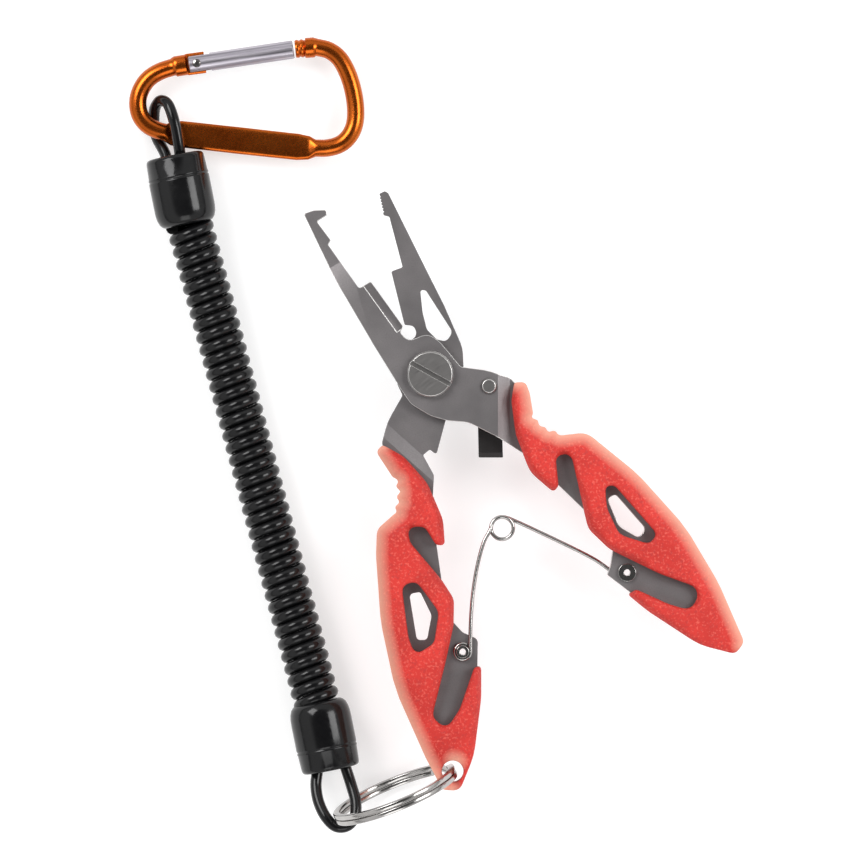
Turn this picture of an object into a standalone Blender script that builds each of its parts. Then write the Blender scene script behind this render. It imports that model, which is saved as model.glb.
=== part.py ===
"""Fishing pliers on a coiled lanyard: every piece as its own closed solid, in metres, +Z up.

The origin is the centre of the pivot nut's underside. The tool lies level, +Y from the handles to the jaws,
and the key ring's lowest point is the level that everything stands on.
"""
import math

import bmesh
import bpy
from mathutils import Matrix, Vector

MM = 0.001

# ---- driving dimensions, in millimetres ----
MID = 4.4                 # height of the tool's middle plane over the pivot nut's underside
PLATE = 2.4               # thickness of each stamped steel arm
TEETH = 6                 # serrations on the lower arm's jaw
TOOTH_DEPTH = 0.32
LAP_GAP = 0.3             # running gap between the two arms
SET = (PLATE + LAP_GAP) / 2   # how far each arm is set towards the middle plane past the lap
GAP = 0.3                 # gap between neighbours

PIVOT_HEAD_R = 4.85
PIVOT_SHAFT_R = 2.5
PIVOT_HEAD_H = 1.5
NUT_R = 4.0
NUT_H = 1.55
RIM = 0.3                 # small chamfer on turned rims
RIVET_R = 0.85            # shank of the latch rivet
EYELET_R = 0.95           # outside of the tubular rivets
EYELET_BORE_R = 0.65

BLADE = ((-5.75, 10.1), (-12.5, 19.5))   # the upper arm's cutting edge
BLADE_WIDTH = 1.8         # width of its ground slope
BLADE_LAND = 0.5          # flat left under the slope
CUTTER_HALF = 2.0         # half height of the box that cuts it

LATCH_AXIS = (12.3, -2.5)
LATCH_Z = (0.3, 1.5)
LATCH_WIDTH = 5.0
LATCH_FLANGE_TOP = MID - 0.7

GRIP_HALF = 5.0           # half thickness of a grip
GRIP_TAIL_HALF = 2.6      # half thickness at its tail
GRIP_TAPER = (64.0, 83.0)  # distance from the pivot over which the grip thins

EYE_LEFT = (6.8, -58.2)
EYE_RIGHT = (41.3, -41.6)
COIL_CENTRE = (15.1, -32.3)
COIL_R = 2.35
COIL_TURNS = 2.25
COIL_PITCH = 1.05
WIRE_R = 0.42
EYE_R = 1.6
WIRE_Z = PLATE / 2 + GAP + WIRE_R   # height of a spring leg over or under the middle plane

RING_HOLE = (4.7, -83.3)
RING_HOLE_R = 2.3
RING_R = 13.0
RING_RADIAL = 1.5
RING_AXIAL = 2.4
RING_HEADING = math.radians(202)
RING_LEAN = math.radians(8)
FLOOR = MID - RING_R - RING_RADIAL / 2 - 0.05   # the level that the object stands on

CORD_R = 1.2
COIL_CORD_R = 5.05
SLEEVE_R = 6.45
SLEEVE_Z = FLOOR + SLEEVE_R
SLEEVE_UPPER = ((-54.0, 46.2), (-51.1, 31.6))     # outer end, coil end
SLEEVE_LOWER = ((-20.9, -83.4), (-23.8, -69.0))

BAR_Z = -4.75             # middle of the carabiner
ROD_R = 1.85
GATE_PIN = (-49.3, 65.7)
GATE_END = (-28.9, 68.7)
GATE_R = 1.95
GATE_BORE_R = 1.2
GATE_BORE_DEPTH = 9.0
GATE_HEEL = 1.7           # length of the gate behind its pin
PIN_R = 0.6
LANYARD_HOLD = (-18.9, -92.2)    # where the lower loop hangs on the key ring
CARABINER_HOLD = (-56.0, 51.5)   # where the upper loop holds the carabiner

# ---- colours: red, green, blue, roughness, metallic ----
STEEL = (0.15, 0.145, 0.15, 0.45, 0.9)
BLACK_STEEL = (0.02, 0.02, 0.022, 0.4, 0.6)
BRIGHT_STEEL = (0.6, 0.6, 0.6, 0.2, 1.0)
RED_RUBBER = (0.72, 0.06, 0.045, 0.6, 0.0)
ORANGE = (0.7, 0.2, 0.03, 0.3, 0.9)
SILVER = (0.7, 0.7, 0.75, 0.35, 1.0)
BLACK_PLASTIC = (0.012, 0.012, 0.014, 0.2, 0.0)

# ---- outlines: corners as (x, y, fillet radius), in millimetres ----
UPPER_ARM = [
    (-26.6, 33.7, 0.4), (-20.0, 19.9, 20), (-12.0, 6.3, 20), (-6.0, -3.4, 3), (-4.0, -6.3, 4),
    (0.2, -8.8, 6), (3.8, -9.8, 4), (8.0, -10.1, 5), (14.0, -13.1, 10), (20.5, -17.3, 4),
    (26.8, -23.2, 3), (32.2, -28.4, 2), (36.2, -32.8, 3), (38.5, -35.6, 1.0), (37.8, -40.2, 2.0),
    (37.1, -42.1, 0.5),
    (41.8, -45.7, 1), (53.0, -51.0, 2), (58.4, -52.2, 2), (57.0, -45.5, 3), (48.0, -31.0, 6),
    (42.0, -22.6, 5), (32.5, -15.2, 6), (26.0, -14.6, 3), (21.0, -11.0, 3), (19.4, -3.4, 1.2),
    (16.8, -0.8, 2.0), (12.0, 0.8, 8), (6.4, 1.55, 0.5), (2.2, 6.6, 3.0), (-0.4, 8.6, 4.0),
    (-4.6, 6.9, 1.9), (-6.3, 8.7, 0.9), (-5.75, 10.1, 0.4), (-12.5, 19.5, 0.4), (-14.9, 18.0, 0.5),
    (-21.4, 27.2, 0.3), (-20.9, 28.2, 0.3), (-23.8, 32.1, 0.4), (-21.7, 33.4, 0.3),
    (-21.8, 34.5, 0.5), (-24.5, 34.4, 1.0),
]
LOWER_ARM = [
    (-9.55, 38.45, 0.5), (-10.8, 37.8, 0.3), (-9.8, 33.4, 0.4), (-8.6, 33.1, 0.3), (-5.8, 22.5, 0.3),
    (-8.2, 21.6, 0.3), (-5.4, 10.4, 0.3), (-3.4, 10.2, 1.3), (-2.7, 8.2, 1.4), (-5.0, 6.4, 1.0),
    (-7.0, 2.0, 4), (-7.0, -2.0, 3), (-5.8, -4.4, 0.8), (-9.0, -10.0, 12), (-10.2, -14.6, 1.5),
    (-7.8, -19.0, 3), (-4.8, -24.0, 3), (-7.6, -34.0, 6), (-7.9, -48.0, 8), (-5.4, -60.0, 8),
    (-1.0, -70.0, 5), (1.6, -76.0, 2), (5.6, -75.5, 2), (7.4, -68.5, 3), (9.9, -61.8, 1.0),
    (10.0, -55.6, 1.2), (6.8, -54.2, 1.5), (3.4, -50.5, 1.2), (2.4, -43.4, 3), (1.3, -35.6, 4),
    (0.7, -31.0, 4), (0.5, -26.5, 3), (0.8, -21.2, 1.2), (-1.5, -17.0, 0.3), (-0.1, -15.8, 0.4),
    (1.3, -16.9, 0.4),
    (3.2, -9.8, 2), (6.2, -4.0, 3), (7.0, 1.8, 1.0), (6.8, 5.6, 6), (3.0, 14.3, 20),
    (-4.0, 28.3, 20), (-8.8, 38.0, 0.5),
]
JAW_WINDOW = [
    (-2.1, 17.8, 0.7), (-0.9, 17.6, 0.5), (4.7, 8.9, 1.3), (3.4, 6.9, 1.2), (1.4, 7.3, 1.0),
    (-0.7, 9.4, 1.5), (-1.6, 13.0, 3),
]
UPPER_HANDLE_HOLE = [(37.2, -26.1, 0.8), (38.9, -25.2, 0.8), (45.2, -32.4, 1.0), (43.9, -34.4, 1.0),
                     (39.7, -32.0, 3)]
LOWER_HANDLE_HOLE = [(-4.4, -46.1, 0.9), (-2.1, -45.7, 0.6), (0.3, -50.6, 2), (-0.7, -55.8, 0.8),
                     (-2.8, -55.8, 0.8)]
RIGHT_GRIP = [
    (17.6, -1.7, 0.6), (20.0, -1.6, 1.2), (20.9, -4.0, 2), (21.6, -8.4, 0.5), (20.9, -9.1, 0.3),
    (22.6, -9.6, 0.6), (22.8, -10.9, 0.3), (24.3, -11.1, 0.6), (24.5, -12.3, 0.3), (26.2, -11.7, 0.6),
    (26.9, -12.9, 0.5), (32.8, -12.2, 4), (43.5, -20.9, 20), (53.5, -32.0, 20), (60.5, -43.8, 20),
    (65.9, -56.2, 1.6), (64.0, -58.7, 1.5), (56.5, -56.8, 12), (45.5, -49.6, 15), (41.4, -46.2, 0.5),
    (43.2, -45.1, 0.8), (50.0, -48.2, 10), (54.8, -49.6, 2.2), (56.8, -45.0, 2.2), (48.0, -41.8, 15),
    (37.6, -36.7, 5), (33.2, -32.5, 4), (31.9, -27.0, 6), (29.5, -16.6, 1.6), (26.2, -17.0, 1.4),
    (26.9, -23.4, 0.5), (25.9, -24.8, 0.9), (21.0, -20.6, 6), (17.9, -12.6, 8), (17.0, -5.6, 5),
]
RIGHT_WINDOW = [(36.6, -23.3, 1.2), (38.7, -23.4, 0.9), (47.6, -33.6, 1.2), (45.9, -35.6, 1.4),
                (39.6, -33.6, 3), (37.0, -28.0, 4)]
LEFT_GRIP = [
    (-11.4, -16.2, 1.1), (-10.0, -14.8, 0.7), (-5.6, -17.2, 6), (-0.6, -22.8, 8), (2.7, -30.5, 6),
    (3.1, -36.0, 1.1), (1.2, -35.8, 0.8), (-1.2, -31.9, 1.5), (-4.9, -32.1, 1.7), (-4.2, -35.3, 2),
    (2.2, -42.9, 8), (5.0, -47.2, 3), (4.9, -52.6, 2), (3.3, -60.0, 15), (0.4, -71.8, 1.8),
    (3.3, -74.6, 2), (6.2, -70.2, 4), (9.2, -61.5, 0.5), (10.7, -61.2, 1.0), (10.7, -68.0, 12),
    (9.2, -80.0, 15), (6.2, -87.4, 2), (2.6, -87.2, 1.2), (-1.0, -80.4, 12), (-7.4, -66.0, 20),
    (-10.4, -52.0, 20), (-11.4, -38.0, 12), (-11.2, -32.6, 2.5), (-7.4, -29.2, 1), (-6.6, -29.2, 0.3),
    (-7.6, -27.9, 0.6), (-6.3, -26.9, 0.3), (-7.2, -25.7, 0.6), (-6.1, -24.6, 0.3), (-7.4, -23.5, 0.6),
    (-6.4, -22.3, 0.3), (-7.9, -21.6, 1),
]
LEFT_WINDOW = [(-6.0, -44.2, 1.6), (-2.9, -43.4, 1.8), (1.8, -49.8, 2.5), (0.8, -56.4, 1.8),
               (-3.2, -59.0, 1.4), (-4.6, -55.0, 3)]

# ---- routes: hand-chosen points in millimetres ----
LEG_LEFT = [(12.7, -32.6, 0.0), (11.1, -35.6, 0.0), (9.8, -40.6, 0.0), (8.9, -46.5, 0.0), (8.5, -52.0, 0.0),
            (8.4, -56.6, 0.0)]
LEG_RIGHT = [(16.4, -30.2, 0.0), (20.0, -31.8, 0.0), (27.0, -35.1, 0.0), (34.0, -38.6, 0.0),
             (37.4, -40.9, 0.0), (39.7, -42.6, 0.0)]
COIL_CORD = [(-50.65, 30.9, 6.2), (-46.5, 15.7, 5.6), (-42.5, 0.7, 5.2), (-38.4, -14.7, 5.1),
             (-34.5, -29.3, 5.1), (-30.7, -43.6, 5.2), (-26.95, -57.6, 5.6), (-24.15, -68.3, 6.2)]
LOOP_UPPER = [(-56.0, 46.6, 3.9), (-56.7, 48.0, 3.2), (-57.8, 50.0, 1.9), (-58.4, 52.2, 1.25),
              (-58.5, 54.6, 1.5), (-58.1, 56.7, 3.0), (-56.9, 57.9, 5.3), (-55.4, 57.1, 7.2),
              (-54.4, 54.8, 8.1), (-53.6, 51.8, 8.3), (-53.1, 49.0, 8.0), (-52.8, 46.9, 7.6)]
LOOP_LOWER = [(-23.9, -84.4, 6.2), (-24.1, -87.0, 6.8), (-23.5, -90.2, 8.0), (-22.0, -93.2, 9.2),
              (-19.9, -95.2, 9.7), (-17.5, -95.1, 9.7), (-15.9, -93.2, 9.2), (-15.7, -90.2, 8.2),
              (-16.6, -86.8, 6.9), (-17.8, -83.1, 6.2)]
# carabiner stations: x, y, half width, half height
CARABINER = [(-47.6, 66.0, 2.3, 0.7), (-51.3, 65.5, 2.3, 0.7), (-51.6, 65.45, 2.2, 2.1),
             (-53.8, 65.1, 2.2, 2.1), (-54.4, 64.95, ROD_R, ROD_R), (-57.2, 64.0, ROD_R, ROD_R),
             (-59.6, 62.4, ROD_R, ROD_R), (-61.2, 60.0, ROD_R, ROD_R), (-61.8, 57.4, ROD_R, ROD_R),
             (-61.3, 54.8, ROD_R, ROD_R), (-59.8, 52.8, ROD_R, ROD_R), (-57.8, 51.7, ROD_R, ROD_R),
             (-56.0, 51.2, ROD_R, ROD_R), (-54.6, 51.0, 2.6, 1.2), (-52.6, 50.8, 2.8, 1.1),
             (-40.0, 49.4, 2.85, 1.1), (-28.0, 48.1, 2.8, 1.1), (-25.6, 47.9, 2.5, 1.2),
             (-24.2, 47.85, ROD_R, 1.75), (-21.6, 47.9, ROD_R, ROD_R), (-19.0, 48.7, ROD_R, ROD_R),
             (-17.1, 50.4, ROD_R, ROD_R), (-16.0, 52.8, ROD_R, ROD_R), (-15.75, 56.0, ROD_R, ROD_R),
             (-16.3, 60.0, ROD_R, ROD_R), (-17.5, 63.8, ROD_R, ROD_R), (-19.2, 66.8, ROD_R, ROD_R),
             (-21.4, 68.5, ROD_R, ROD_R), (-24.0, 69.15, ROD_R, ROD_R), (-24.9, 69.15, 2.15, 2.1),
             (-26.3, 69.0, 2.15, 2.1), (-26.7, 69.0, 1.85, 1.85), (-28.4, 68.75, 1.95, 1.85)]


def clear_scene():
    """Removes every object, so that the script gives the same result each run."""
    for thing in list(bpy.data.objects):
        bpy.data.objects.remove(thing, do_unlink=True)


def material(name, finish):
    """A Principled material of one colour."""
    made = bpy.data.materials.new(name)
    made.use_nodes = True
    shader = made.node_tree.nodes["Principled BSDF"]
    shader.inputs["Base Color"].default_value = (*finish[:3], 1.0)
    shader.inputs["Roughness"].default_value = finish[3]
    shader.inputs["Metallic"].default_value = finish[4]
    return made


def add_object(name, mesh, finish):
    """Links a mesh as a named object with its own material."""
    thing = bpy.data.objects.new(name, mesh)
    bpy.context.scene.collection.objects.link(thing)
    mesh.materials.clear()
    mesh.materials.append(material(name + "_finish", finish))
    return thing


def finish_mesh(name, shape):
    """Scales a bmesh from millimetres to metres and makes it a mesh with outward faces."""
    bmesh.ops.recalc_face_normals(shape, faces=shape.faces)
    bmesh.ops.scale(shape, vec=(MM, MM, MM), verts=shape.verts)
    mesh = bpy.data.meshes.new(name)
    shape.to_mesh(mesh)
    shape.free()
    mesh.shade_smooth()
    mesh.set_sharp_from_angle(angle=math.radians(35))
    return mesh


def fillet(corners, steps=4):
    """Turns (x, y, radius) corners into points, with each corner rounded by an arc."""
    points = []
    for i, (x, y, radius) in enumerate(corners):
        here = Vector((x, y))
        before = Vector(corners[i - 1][:2]) - here
        after = Vector(corners[(i + 1) % len(corners)][:2]) - here
        angle = before.angle(after)
        if radius <= 0 or angle > math.radians(177):
            points.append(here)
            continue
        reach = min(radius / math.tan(angle / 2), 0.48 * before.length, 0.48 * after.length)
        radius = reach * math.tan(angle / 2)
        middle = (before.normalized() + after.normalized()).normalized()
        centre = here + middle * radius / math.sin(angle / 2)
        start = here + before.normalized() * reach - centre
        turn = (here + after.normalized() * reach - centre).angle_signed(start)
        count = max(1, min(steps, int(math.degrees(abs(turn)) / 12) + 1))
        for k in range(count + 1):
            arm = start.copy()
            arm.rotate(Matrix.Rotation(turn * k / count, 2))
            points.append(centre + arm)
    return points


def circle(centre, radius, count=24):
    """Points round a circle."""
    return [Vector((centre[0] + radius * math.cos(2 * math.pi * k / count),
                    centre[1] + radius * math.sin(2 * math.pi * k / count))) for k in range(count)]


def loop_edges(shape, points, height):
    """Adds a closed loop of edges at one height."""
    ring = [shape.verts.new((p[0], p[1], height)) for p in points]
    return [shape.edges.new((ring[i - 1], ring[i])) for i in range(len(ring))]


def plate_bmesh(outline, holes, low, high):
    """A flat plate with through holes, extruded from low to high."""
    shape = bmesh.new()
    edges = loop_edges(shape, outline, low)
    for hole in holes:
        edges += loop_edges(shape, hole, low)
    bmesh.ops.triangle_fill(shape, use_beauty=True, edges=edges, normal=(0, 0, 1))
    made = bmesh.ops.extrude_face_region(shape, geom=list(shape.faces))
    raised = [v for v in made["geom"] if isinstance(v, bmesh.types.BMVert)]
    bmesh.ops.translate(shape, verts=raised, vec=(0, 0, high - low))
    return shape


def slice_along(shape, direction, distances):
    """Cuts a bmesh by planes across a direction, so that it can bend there."""
    for distance in distances:
        bmesh.ops.bisect_plane(shape, geom=shape.verts[:] + shape.edges[:] + shape.faces[:], dist=1e-5,
                               plane_co=Vector(direction) * distance, plane_no=direction)


def set_over(shape, direction, start, end, shift):
    """Shifts a plate's height by a ramp between two distances along a direction."""
    heading = Vector(direction).normalized()
    slice_along(shape, heading, (start, end))
    for vert in shape.verts:
        ramp = min(1.0, max(0.0, (vert.co.dot(heading) - start) / (end - start)))
        vert.co.z += shift * ramp


def prism(name, outline, low, high, finish, holes=()):
    """A named plate."""
    return add_object(name, finish_mesh(name, plate_bmesh(outline, holes, low, high)), finish)


def turned(name, profile, centre, finish, steps=28):
    """A solid of revolution about a vertical axis, from (radius, height) points, outer side first."""
    shape = bmesh.new()
    ring = [shape.verts.new((radius, 0.0, height)) for radius, height in profile]
    closed = min(radius for radius, _ in profile) > 0
    edges = [shape.edges.new((ring[i], ring[i + 1])) for i in range(len(ring) - 1)]
    if closed:
        edges.append(shape.edges.new((ring[-1], ring[0])))
    bmesh.ops.spin(shape, geom=edges, cent=(0, 0, 0), axis=(0, 0, 1), angle=2 * math.pi, steps=steps,
                   use_merge=True)
    bmesh.ops.remove_doubles(shape, verts=shape.verts, dist=1e-4)
    bmesh.ops.translate(shape, verts=shape.verts, vec=(centre[0], centre[1], 0))
    return add_object(name, finish_mesh(name, shape), finish)


def boolean(target, cutter, operation="DIFFERENCE"):
    """Cuts or joins two objects with the exact solver, and hides the second one."""
    change = target.modifiers.new(operation.lower(), "BOOLEAN")
    change.operation = operation
    change.solver = "EXACT"
    change.object = cutter
    cutter.hide_render = True
    cutter.display_type = "WIRE"


def smooth_route(points, per_span=4):
    """Points on a smooth curve through the route's own points."""
    route = []
    spans = len(points) - 1
    for i in range(spans):
        a, b, c, d = (Vector(points[min(max(k, 0), spans)]) for k in (i - 1, i, i + 1, i + 2))
        for k in range(per_span):
            t = k / per_span
            route.append(0.5 * (2 * b + (c - a) * t + (2 * a - 5 * b + 4 * c - d) * t * t
                                + (3 * b - a - 3 * c + d) * t ** 3))
    route.append(Vector(points[-1]))
    return route


def tube(name, route, radius, finish, resolution=2):
    """A round tube along a route, as a bevelled curve with filled caps."""
    curve = bpy.data.curves.new(name, "CURVE")
    curve.dimensions = "3D"
    curve.bevel_depth = radius * MM
    curve.bevel_resolution = resolution
    curve.use_fill_caps = True
    spline = curve.splines.new("POLY")
    spline.points.add(len(route) - 1)
    for point, place in zip(spline.points, route):
        point.co = (place[0] * MM, place[1] * MM, place[2] * MM, 1.0)
    thing = bpy.data.objects.new(name, curve)
    bpy.context.scene.collection.objects.link(thing)
    curve.materials.append(material(name + "_finish", finish))
    return thing


def swept_rod(name, stations, height, finish, sides=12):
    """A bar along stations of (x, y, half width, half height), made by extruding one end ring."""
    shape = bmesh.new()
    ring = bmesh.ops.create_circle(shape, cap_ends=True, segments=sides, radius=1)["verts"]
    face = shape.faces[:][0]
    for i, (x, y, wide, tall) in enumerate(stations):
        after = Vector(stations[min(i + 1, len(stations) - 1)][:2])
        before = Vector(stations[max(i - 1, 0)][:2])
        side = (after - before).normalized().orthogonal()
        if i > 0:
            behind = face
            made = bmesh.ops.extrude_face_region(shape, geom=[face])["geom"]
            fresh = {v for v in made if isinstance(v, bmesh.types.BMVert)}
            face = next(f for f in made if isinstance(f, bmesh.types.BMFace) and set(f.verts) == fresh)
            ring = [next(e.other_vert(v) for e in v.link_edges if e.other_vert(v) in fresh) for v in ring]
            if i > 1 and behind.is_valid:
                bmesh.ops.delete(shape, geom=[behind], context="FACES_ONLY")
        for k, vert in enumerate(ring):
            turn = 2 * math.pi * k / sides
            vert.co = (x + side.x * wide * math.cos(turn), y + side.y * wide * math.cos(turn),
                       height + tall * math.sin(turn))
    return add_object(name, finish_mesh(name, shape), finish)


def box_cutter(name, centre, size, angle, tilt=0.0):
    """A hidden box, tilted about its own length and then turned about the vertical axis."""
    shape = bmesh.new()
    bmesh.ops.create_cube(shape, size=1)
    bmesh.ops.scale(shape, vec=size, verts=shape.verts)
    turn = Matrix.Rotation(angle, 3, "Z") @ Matrix.Rotation(tilt, 3, "X")
    bmesh.ops.rotate(shape, cent=(0, 0, 0), matrix=turn, verts=shape.verts)
    bmesh.ops.translate(shape, verts=shape.verts, vec=centre)
    return add_object(name, finish_mesh(name, shape), STEEL)


def grown(points, by):
    """An outline moved outwards by a distance."""
    area = sum(points[i - 1].cross(points[i]) for i in range(len(points)))
    moved = []
    for i, here in enumerate(points):
        into = (here - points[i - 1]).normalized()
        out = (points[(i + 1) % len(points)] - here).normalized()
        normal = Vector(((into + out).y, -(into + out).x)).normalized()
        if area < 0:
            normal = -normal
        moved.append(here + normal * by)
    return moved


def serrated(outline, corner):
    """An outline with its jaw's teeth cut between one corner and the next."""
    start, end = (Vector(outline[k][:2]) for k in (corner, corner + 1))
    step = (end - start) / (TEETH + 1)
    inward = Vector((-step.y, step.x)).normalized() * TOOTH_DEPTH
    teeth = []
    for k in range(1, TEETH + 1):
        crest = start + step * (k + 0.25)
        root = start + step * k + inward
        teeth += [(*root, 0), (*crest, 0)]
    return outline[:corner + 1] + teeth + outline[corner + 1:]


def arm(name, outline, holes, upper, jaw, shank):
    """One stamped steel arm: flat in the lap, then set over to the middle plane at each end."""
    low = MID + LAP_GAP / 2 if upper else MID - LAP_GAP / 2 - PLATE
    shape = plate_bmesh(fillet(outline), holes, low, low + PLATE)
    shift = -SET if upper else SET
    for direction, start, end in (jaw, shank):
        set_over(shape, direction, start, end, shift)
    return add_object(name, finish_mesh(name, shape), STEEL)


def blade_bevel():
    """The cutter that grinds the upper blade: a slope from its top face down to its shearing edge."""
    start, end = Vector(BLADE[0]), Vector(BLADE[1])
    along = (start - end).normalized()
    outward = Vector((-along.y, along.x))
    slope = math.atan2(PLATE - BLADE_LAND, BLADE_WIDTH)
    low = MID + LAP_GAP / 2
    face = (start + end) / 2 - outward * BLADE_WIDTH / 2
    face += outward * math.sin(slope) * CUTTER_HALF
    height = low + (PLATE + BLADE_LAND) / 2 + math.cos(slope) * CUTTER_HALF
    size = ((start - end).length + 2 * GAP, 5.0, 2 * CUTTER_HALF)
    return box_cutter("blade_bevel_cutter", (face.x, face.y, height), size,
                      math.atan2(along.y, along.x), -slope)


def arms():
    """Both arms. Their blades shear past each other next to the pivot, and their tips meet."""
    shaft_hole = circle((0, 0), PIVOT_SHAFT_R + GAP)
    upper_holes = [shaft_hole, circle(LATCH_AXIS, RIVET_R + GAP, 16), fillet(UPPER_HANDLE_HOLE),
                   circle(EYE_RIGHT, EYELET_R + GAP, 16)]
    upper = arm("upper_arm", UPPER_ARM, upper_holes, True,
                ((-0.53, 0.85, 0), 25.0, 30.0), ((1, 0, 0), 14.2, 16.7))
    boolean(upper, blade_bevel())
    lower_holes = [shaft_hole, fillet(JAW_WINDOW), fillet(LOWER_HANDLE_HOLE),
                   circle(EYE_LEFT, EYELET_R + GAP, 16)]
    arm("lower_arm", serrated(LOWER_ARM, 1), lower_holes, False,
        ((-0.27, 0.96, 0), 25.0, 30.0), ((-0.664, -0.748, 0), 13.8, 16.4))


def grip(name, outline, window, tang, tang_hole, heading, ring_hole=None):
    """A moulded rubber grip with a window, a cavity for the steel tang and a thin tail."""
    points = fillet(outline)
    shape = bmesh.new()
    face = shape.faces.new([shape.verts.new((p.x, p.y, MID - GRIP_HALF)) for p in points])
    made = bmesh.ops.extrude_face_region(shape, geom=[face], use_keep_orig=True)["geom"]
    raised = [v for v in made if isinstance(v, bmesh.types.BMVert)]
    bmesh.ops.translate(shape, verts=raised, vec=(0, 0, 2 * GRIP_HALF))
    rim = [e for e in shape.edges if abs(e.verts[0].co.z - e.verts[1].co.z) < 0.1]
    bmesh.ops.bevel(shape, geom=rim, offset=0.6, segments=1, profile=0.5, affect="EDGES", material=-1,
                    clamp_overlap=False)
    start, end = GRIP_TAPER
    slice_along(shape, Vector((*heading, 0)).normalized(), (start, 70.0, 76.0, end))
    for vert in shape.verts:
        along = (Vector(vert.co.xy).dot(Vector(heading).normalized()) - start) / (end - start)
        ease = min(1.0, max(0.0, along))
        thin = 1 + (GRIP_TAIL_HALF / GRIP_HALF - 1) * ease
        vert.co.z = MID + (vert.co.z - MID) * thin
    body = add_object(name, finish_mesh(name, shape), RED_RUBBER)
    boolean(body, prism(name + "_window_cutter", fillet(window), MID - 9, MID + 9, STEEL))
    half = PLATE / 2 + GAP
    boolean(body, prism(name + "_tang_cutter", grown(fillet(tang), GAP), MID - half, MID + half, STEEL))
    if ring_hole:
        hole = circle(ring_hole, RING_HOLE_R, 20)
        boolean(body, prism(name + "_hole_cutter", hole, MID - 9, MID + 9, STEEL))
    return body


def pivot():
    """The slotted pivot screw and the round nut under it."""
    top = MID + LAP_GAP / 2 + PLATE + GAP
    head = top + PIVOT_HEAD_H
    profile = [(0, head), (PIVOT_HEAD_R - RIM, head), (PIVOT_HEAD_R, head - RIM), (PIVOT_HEAD_R, top),
               (PIVOT_SHAFT_R, top), (PIVOT_SHAFT_R, 0.0), (0, 0.0)]
    screw = turned("pivot_screw", profile, (0, 0), STEEL)
    boolean(screw, box_cutter("slot_cutter", (0.15, 0.1, head), (14, 1.0, 1.7), math.radians(-29)))
    bore = PIVOT_SHAFT_R + GAP
    turned("pivot_nut", [(NUT_R, RIM), (NUT_R - RIM, 0.0), (bore, 0.0), (bore, NUT_H), (NUT_R, NUT_H)],
           (0, 0), STEEL)


def latch():
    """The closing latch: a bent steel lever under the arms on a stepped rivet."""
    low, high = LATCH_Z
    x, y = LATCH_AXIS
    half = LATCH_WIDTH / 2
    outline = [(x - half, y + 2.2, 2.2), (x + half, y + 2.2, 2.2), (x + half + 0.5, -17.5, 0.3),
               (x - half + 0.4, -17.5, 0.3)]
    lever = plate_bmesh(fillet(outline), [circle(LATCH_AXIS, RIVET_R + GAP, 16)], low, high)
    body = add_object("latch_lever", finish_mesh("latch_lever", lever), BLACK_STEEL)
    lip = [(x - half + 0.35, -16.5, 0), (x + half + 0.45, -16.5, 0), (x + half + 0.5, -17.45, 0),
           (x - half + 0.4, -17.45, 0)]
    boolean(body, prism("latch_lip", fillet(lip), low + 0.5, LATCH_FLANGE_TOP, BLACK_STEEL), "UNION")
    under_arm = MID + LAP_GAP / 2 - GAP
    over_arm = MID + LAP_GAP / 2 + PLATE
    turned("latch_rivet", [(0, over_arm + 0.75), (1.35, over_arm + 0.75), (1.7, over_arm + GAP),
                           (RIVET_R, over_arm + GAP), (RIVET_R, under_arm), (1.7, under_arm),
                           (1.7, high + GAP), (RIVET_R, high + GAP), (RIVET_R, low - GAP),
                           (1.6, low - GAP), (1.3, low - 0.7),
                           (0, low - 0.7)], LATCH_AXIS, STEEL, 20)


def eyelet(name, centre, wire_above):
    """A tubular rivet that holds a spring eye against the tang."""
    flat, thick = PLATE / 2 + GAP, PLATE / 2 + 2 * GAP + 2 * WIRE_R
    top, bottom = (thick, -flat) if wire_above else (flat, -thick)
    wide_top, wide_bottom = (1.35, 1.9) if wire_above else (1.9, 1.35)
    flange = 0.45
    turned(name, [(wide_top, MID + top + flange), (wide_top, MID + top), (EYELET_R, MID + top),
                  (EYELET_R, MID + bottom), (wide_bottom, MID + bottom), (wide_bottom, MID + bottom - flange),
                  (EYELET_BORE_R, MID + bottom - flange), (EYELET_BORE_R, MID + top + flange)],
           centre, BRIGHT_STEEL, 20)


def spring():
    """The opening spring: a coil and two legs, whose eyes sit on the tangs."""
    turns = COIL_TURNS * 2 * math.pi
    start = math.radians(180)
    rise = COIL_PITCH * COIL_TURNS
    coil = []
    steps = 36
    for k in range(steps + 1):
        angle = start - turns * k / steps
        coil.append((COIL_CENTRE[0] + COIL_R * math.cos(angle), COIL_CENTRE[1] + COIL_R * math.sin(angle),
                     MID + rise / 2 - rise * k / steps))
    tube("spring_coil", coil, WIRE_R, BRIGHT_STEEL, 1)
    left = leg_route(LEG_LEFT, rise / 2, WIRE_Z) + eye_route(EYE_LEFT, 0, -300, WIRE_Z)
    tube("spring_leg_left", left, WIRE_R, BRIGHT_STEEL, 1)
    right = leg_route(LEG_RIGHT, -rise / 2, -WIRE_Z) + eye_route(EYE_RIGHT, -130, 280, -WIRE_Z)
    tube("spring_leg_right", right, WIRE_R, BRIGHT_STEEL, 1)


def leg_route(points, height_at_coil, height_at_eye):
    """A spring leg's route, easing from the coil's height to the eye's."""
    last = len(points) - 1
    climb = height_at_eye - height_at_coil
    heights = [height_at_coil + climb * min(1.0, k / (last - 1)) for k in range(last + 1)]
    return smooth_route([(p[0], p[1], MID + h) for p, h in zip(points, heights)], 3)


def eye_route(centre, first, sweep, height, steps=14):
    """The round eye at the end of a spring leg, from and through angles in degrees."""
    angles = [math.radians(first + sweep * k / steps) for k in range(steps + 1)]
    return [Vector((centre[0] + EYE_R * math.cos(a), centre[1] + EYE_R * math.sin(a), MID + height))
            for a in angles]


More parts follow.
